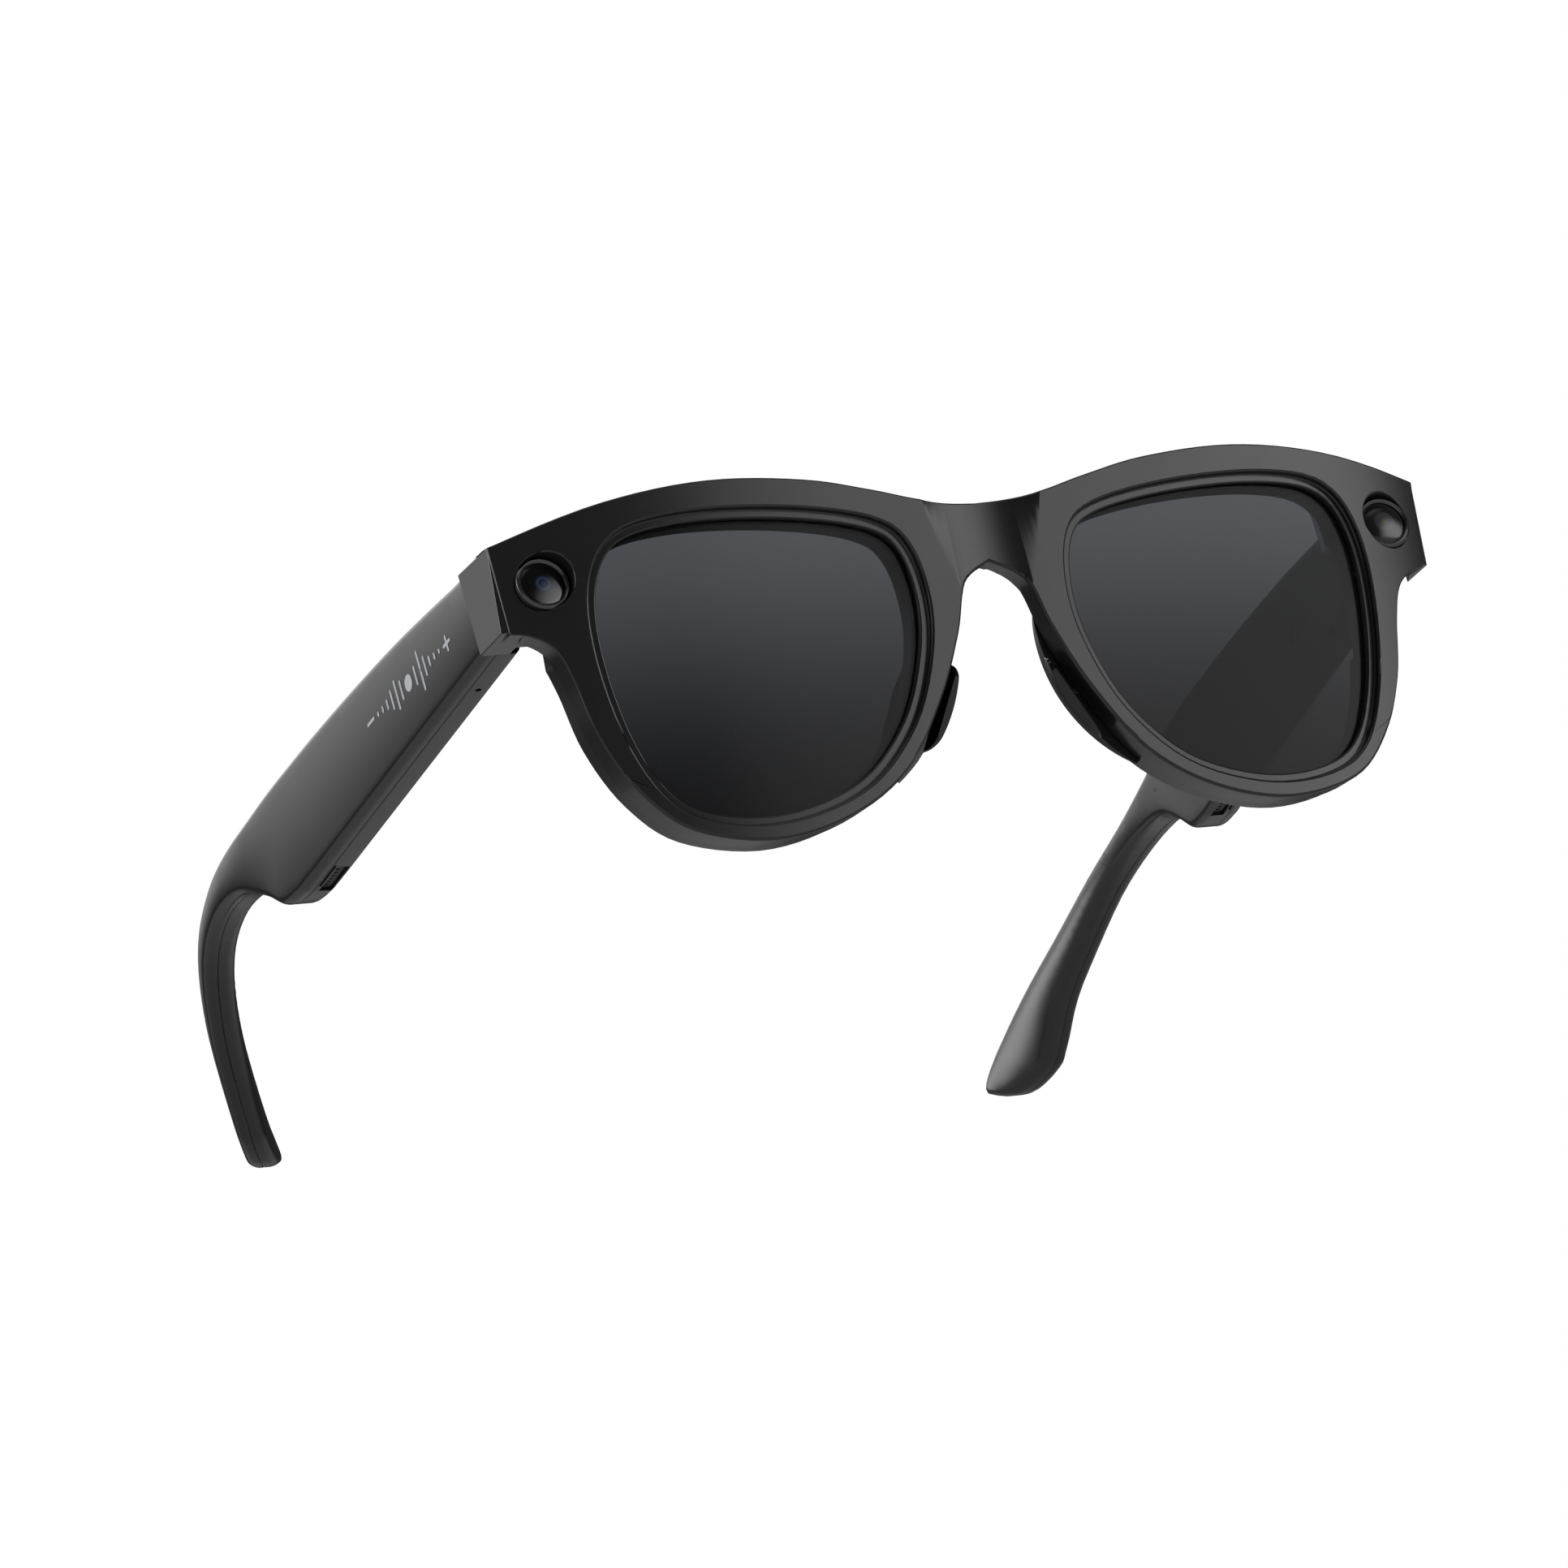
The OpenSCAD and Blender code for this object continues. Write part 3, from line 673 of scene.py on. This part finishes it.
def follow_wrap(shape):
    """Gives the faces that follow the wrapped surface its exact normals."""
    normals = [Vector(n.vector) for n in shape.corner_normals]
    for face in shape.polygons:
        for i in face.loop_indices:
            ideal = wrapped_normal(shape.vertices[shape.loops[i].vertex_index].co.x)
            for n in (ideal, -ideal):
                if face.normal.dot(n) > 0.9975 and normals[i].dot(n) > 0.97:
                    normals[i] = n
    shape.normals_split_custom_set(normals)


def rounded(node, name, neighbours, width, finish, flatten=True, clamp=False, tiny=0.03):
    """A smooth copy of a CAD node: width(point, angle, gap) in mm is each sharp edge's rounding, where
    gap is the distance to the neighbours. Edges shorter than tiny, in mm, are dissolved first."""
    bm = copied(node, flatten)
    bmesh.ops.dissolve_degenerate(bm, dist=tiny * MM, edges=bm.edges)
    weigh_edges(bm, neighbours, width)
    work = meshed(bm)
    work.data.shade_smooth()
    round_off = work.modifiers.new("edges", "BEVEL")
    round_off.limit_method = "WEIGHT"
    round_off.width = WIDEST * MM
    round_off.segments = 3
    round_off.use_clamp_overlap = clamp
    round_off.loop_slide = True
    smooth = work.modifiers.new("normals", "WEIGHTED_NORMAL")
    smooth.mode = "FACE_AREA_WITH_ANGLE"
    smooth.weight = 80
    smooth.keep_sharp = True
    shape = bpy.data.meshes.new_from_object(evaluated(work))
    bpy.data.objects.remove(work)
    follow_wrap(shape)
    shape.materials.clear()
    shape.materials.append(finish)
    made = linked(name, shape)
    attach(made, NODES[node]["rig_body"])
    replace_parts(made, node)


lens_tree = tree_of("left_lens", "right_lens")
bezel_tree = tree_of("camera_bezel", "lamp_bezel")


# Widths of the front's roundings, in mm
SEAM_EDGE = 0.08
CRISP_EDGE = 0.12
HOLLOW_EDGE = 0.2
TOP_EDGE = 0.22
RIM_BACK_EDGE = 0.25
BRIDGE_EDGE = 0.3
RIM_EDGE = 0.38
OUTER_EDGE = 0.4
# How near an edge is to a module, a seam or a lens when it belongs to it, in mm
MODULE_REACH, SEAM_REACH, LENS_REACH = 1.2, 0.3, 3.2
# Places across the front from its middle, in mm
BRIDGE_SIDE, END_ROOT, RIM_SIDE, END_CORNER = 14, 60, 62.5, 71


def front_width(point, angle, gap):
    """Wide on the bridge and rims, narrow where the front meets another piece."""
    q = leaned(point) / MM
    side = abs(q.x)
    if bezel_tree.find_nearest(point)[3] < MODULE_REACH * MM:
        return CRISP_EDGE
    if gap < SEAM_REACH:
        return SEAM_EDGE if q.z > -6 else 0
    if lens_tree.find_nearest(point)[3] < LENS_REACH * MM and side < RIM_SIDE:
        return RIM_EDGE if q.y < 0.5 else RIM_BACK_EDGE
    if side < BRIDGE_SIDE and q.y > 0.3 and angle < 80:
        return BRIDGE_EDGE
    if side > END_CORNER:
        return CRISP_EDGE
    if q.z > 3 or side > END_ROOT:
        return TOP_EDGE
    return HOLLOW_EDGE if angle < 0 else OUTER_EDGE


def rear_width(point, angle, gap):
    """None along the seam with the front, and less in hollows than on outer edges."""
    if gap < 0.35:
        return 0
    return 0.4 if angle > 0 else 0.15


def lens_width(point, angle, gap):
    return 0.1


def pad_width(point, angle, gap):
    return 0.35


parts_near = [f"{side}_temple_{part}" for side in SIDES for part in ("shell", "cover")]
rounded("front_frame", "front_frame_outer", ["rear_frame"] + parts_near, front_width, SATIN, tiny=0.12)
rounded("rear_frame", "rear_frame_outer", ["front_frame"], rear_width, INNER, flatten=False, clamp=True)
for side in SIDES:
    rounded(f"{side}_lens", f"{side}_lens_clear", ["front_frame"], lens_width, TINT)
    rounded(
        f"{side}_nose_pad", f"{side}_pad_smooth", ["rear_frame"], pad_width, GLOSS, flatten=False, clamp=True
    )

# ---------------------------------------------------------------- printed legend

# Half of a stroke's thickness, and how far the print stands above and reaches below the surface, in mm
STROKE = 0.24
ABOVE, BELOW = 0.075, 0.05
ROUND_STEPS = 24
# Where the minus and the plus are, from ORIGIN
MINUS = Vector((0, 54.5, 4.5)) + ORIGIN / MM
PLUS = MINUS + Vector((0, -27.8, -2.4))
# Half heights of the bars, from the oval outwards, and the shares of the way that place them
BARS = (1.55, 2.35, 1.6, 0.8, 0.54, 0.38)
FIRST_BAR, BAR_PITCH = 0.093, 0.0617
LONG_BAR = 3.15


def printed(name, spots, surface, body):
    """Thin rounded marks on the outer face of the right temple. spots: place, half length, half height."""
    bm = bmesh.new()
    for spot, half_y, half_z in spots:
        ring = []
        r = min(half_y, half_z)
        for k in range(ROUND_STEPS):
            a = math.pi * 2 * (k + 0.5) / ROUND_STEPS
            cy = (half_y - r) * (1 if math.cos(a) > 0 else -1)
            cz = (half_z - r) * (1 if math.sin(a) > 0 else -1)
            ring.append((spot.y + cy + r * math.cos(a), spot.z + cz + r * math.sin(a)))
        layers = []
        for lift in (ABOVE, -BELOW):
            row = []
            for y, z in ring:
                hit = surface.ray_cast(Vector((-1, y * MM, z * MM)), Vector((1, 0, 0)))[0]
                row.append(bm.verts.new((hit.x - lift * MM, y * MM, z * MM)))
            layers.append(row)
        top, under = layers
        for i in range(ROUND_STEPS):
            j = (i + 1) % ROUND_STEPS
            bm.faces.new((top[i], top[j], under[j], under[i]))
        bm.faces.new(top)
        bm.faces.new(under[::-1])
    bmesh.ops.recalc_face_normals(bm, faces=bm.faces)
    piece(name, bm, LEGEND, body).data.shade_flat()


def legend_spots():
    """A minus, a plus and an oval between them, with a row of bars on each side of it."""

    def at(share):
        return MINUS.lerp(PLUS, share)

    spots = [(at(0), 1.3, STROKE), (at(1), 1.3, STROKE), (at(1), STROKE, 1.3), (at(0.5), 1.2, 1.25)]
    for j, half in enumerate(BARS):
        offset = FIRST_BAR + BAR_PITCH * j
        spots.append((at(0.5 - offset), STROKE, half))
        spots.append((at(0.5 + offset), STROKE, LONG_BAR if j == 1 else half))
    return spots


shape = bpy.data.objects["right_temple_outer"].data
skin = BVHTree.FromPolygons([v.co for v in shape.vertices], [p.vertices[:] for p in shape.polygons])
printed("touch_legend", legend_spots(), skin, "right_temple")

# ---------------------------------------------------------------- other CAD pieces

for name, node in NODES.items():
    if node.hide_render:
        continue
    finish = FINISH.get(name) or next((f for key, f in FINISH.items() if key in name), SATIN)
    node.data.materials.clear()
    node.data.materials.append(finish)
    weld = node.modifiers.new("weld", "WELD")
    weld.merge_threshold = WELD
    soften = node.modifiers.new("soften", "BEVEL")
    soften.limit_method = "ANGLE"
    soften.angle_limit = math.radians(35)
    soften.width = 0.05 * MM
    soften.segments = 2
    soften.harden_normals = False

# ---------------------------------------------------------------- light, floor and camera


def camera(azimuth, elevation, roll, distance, target, lens):
    """Angles in degrees; distance, target and lens in mm."""
    a, e, r = (math.radians(v) for v in (azimuth, elevation, roll))
    back = Vector((math.sin(a) * math.cos(e), -math.cos(a) * math.cos(e), math.sin(e)))
    right = (-back).cross(Vector((0, 0, 1))).normalized()
    up = right.cross(-back)
    across = math.cos(r) * right + math.sin(r) * up
    upward = math.cos(r) * up - math.sin(r) * right
    made = linked("camera", bpy.data.cameras.new("camera"))
    turn = Matrix((across, upward, back)).transposed().to_4x4()
    made.matrix_world = Matrix.Translation(Vector(target) * MM + back * distance * MM) @ turn
    made.data.sensor_width = 36
    made.data.lens = lens
    made.data.clip_start, made.data.clip_end = 0.05, 60
    return made


scene.camera = camera(
    azimuth=-27.31,
    elevation=-23.41,
    roll=-16.26,
    distance=1564.8,
    target=eye / MM + Vector((27.8, -0.18, -33.9)),
    lens=257.04,
)

# Half the floor's width and its height, in metres: low enough to stay out of the camera's view
FLOOR_HALF, FLOOR_Z = 30, -2
floor_mesh = bpy.data.meshes.new("floor")
corners = [(x * FLOOR_HALF, y * FLOOR_HALF, FLOOR_Z) for x, y in ((-1, -1), (1, -1), (1, 1), (-1, 1))]
floor_mesh.from_pydata(corners, [], [(0, 1, 2, 3)])
paint = material("floor_paint", (0.5, 0.5, 0.5), 0.9)
floor_mesh.materials.append(varied(paint, 1.5, (0.49, 0.49, 0.49), (0.51, 0.51, 0.51), 0.85, 0.95))
linked("floor", floor_mesh)


def studio(lobes, ambient):
    """Soft light from a few broad directions, in front of a plain white backdrop."""
    made = bpy.data.worlds.new("studio")
    scene.world = made
    made.use_nodes = True
    tree = made.node_tree
    tree.nodes.clear()
    place = add(tree, "ShaderNodeTexCoord")
    total = None
    for direction, inner, outer, strength in lobes:
        aim = add(tree, "ShaderNodeVectorMath", operation="DOT_PRODUCT")
        aim.inputs[1].default_value = Vector(direction).normalized()
        tree.links.new(place.outputs["Generated"], aim.inputs[0])
        lobe = add(tree, "ShaderNodeMapRange", interpolation_type="SMOOTHSTEP")
        lobe.inputs["From Min"].default_value = math.cos(math.radians(outer))
        lobe.inputs["From Max"].default_value = math.cos(math.radians(inner))
        lobe.inputs["To Max"].default_value = strength
        tree.links.new(aim.outputs["Value"], lobe.inputs["Value"])
        if total is None:
            lobe.inputs["To Min"].default_value = ambient
            lobe.inputs["To Max"].default_value = strength + ambient
            total = lobe.outputs["Result"]
        else:
            plus = add(tree, "ShaderNodeMath", operation="ADD")
            tree.links.new(total, plus.inputs[0])
            tree.links.new(lobe.outputs["Result"], plus.inputs[1])
            total = plus.outputs["Value"]
    light = add(tree, "ShaderNodeBackground")
    light.inputs["Color"].default_value = (1, 1, 1, 1)
    tree.links.new(total, light.inputs["Strength"])
    backdrop = add(tree, "ShaderNodeBackground")
    backdrop.inputs["Color"].default_value = (1, 1, 1, 1)
    backdrop.inputs["Strength"].default_value = 1.0
    path = add(tree, "ShaderNodeLightPath")
    mix = add(tree, "ShaderNodeMixShader")
    tree.links.new(path.outputs["Is Camera Ray"], mix.inputs["Fac"])
    tree.links.new(light.outputs["Background"], mix.inputs[1])
    tree.links.new(backdrop.outputs["Background"], mix.inputs[2])
    out = add(tree, "ShaderNodeOutputWorld")
    tree.links.new(mix.outputs["Shader"], out.inputs["Surface"])


# Direction, angle of full light, angle where it ends, strength
studio([
    ((0.66, -0.75, 0.0), 4, 32, 3.0),
    ((-0.2, 0.45, 0.87), 15, 48, 1.7),
    ((0.0, -0.35, 0.94), 10, 36, 1.0),
    ((-0.88, 0.18, 0.4), 6, 26, 6.0),
], 0.05)
scene.view_settings.view_transform = "Standard"
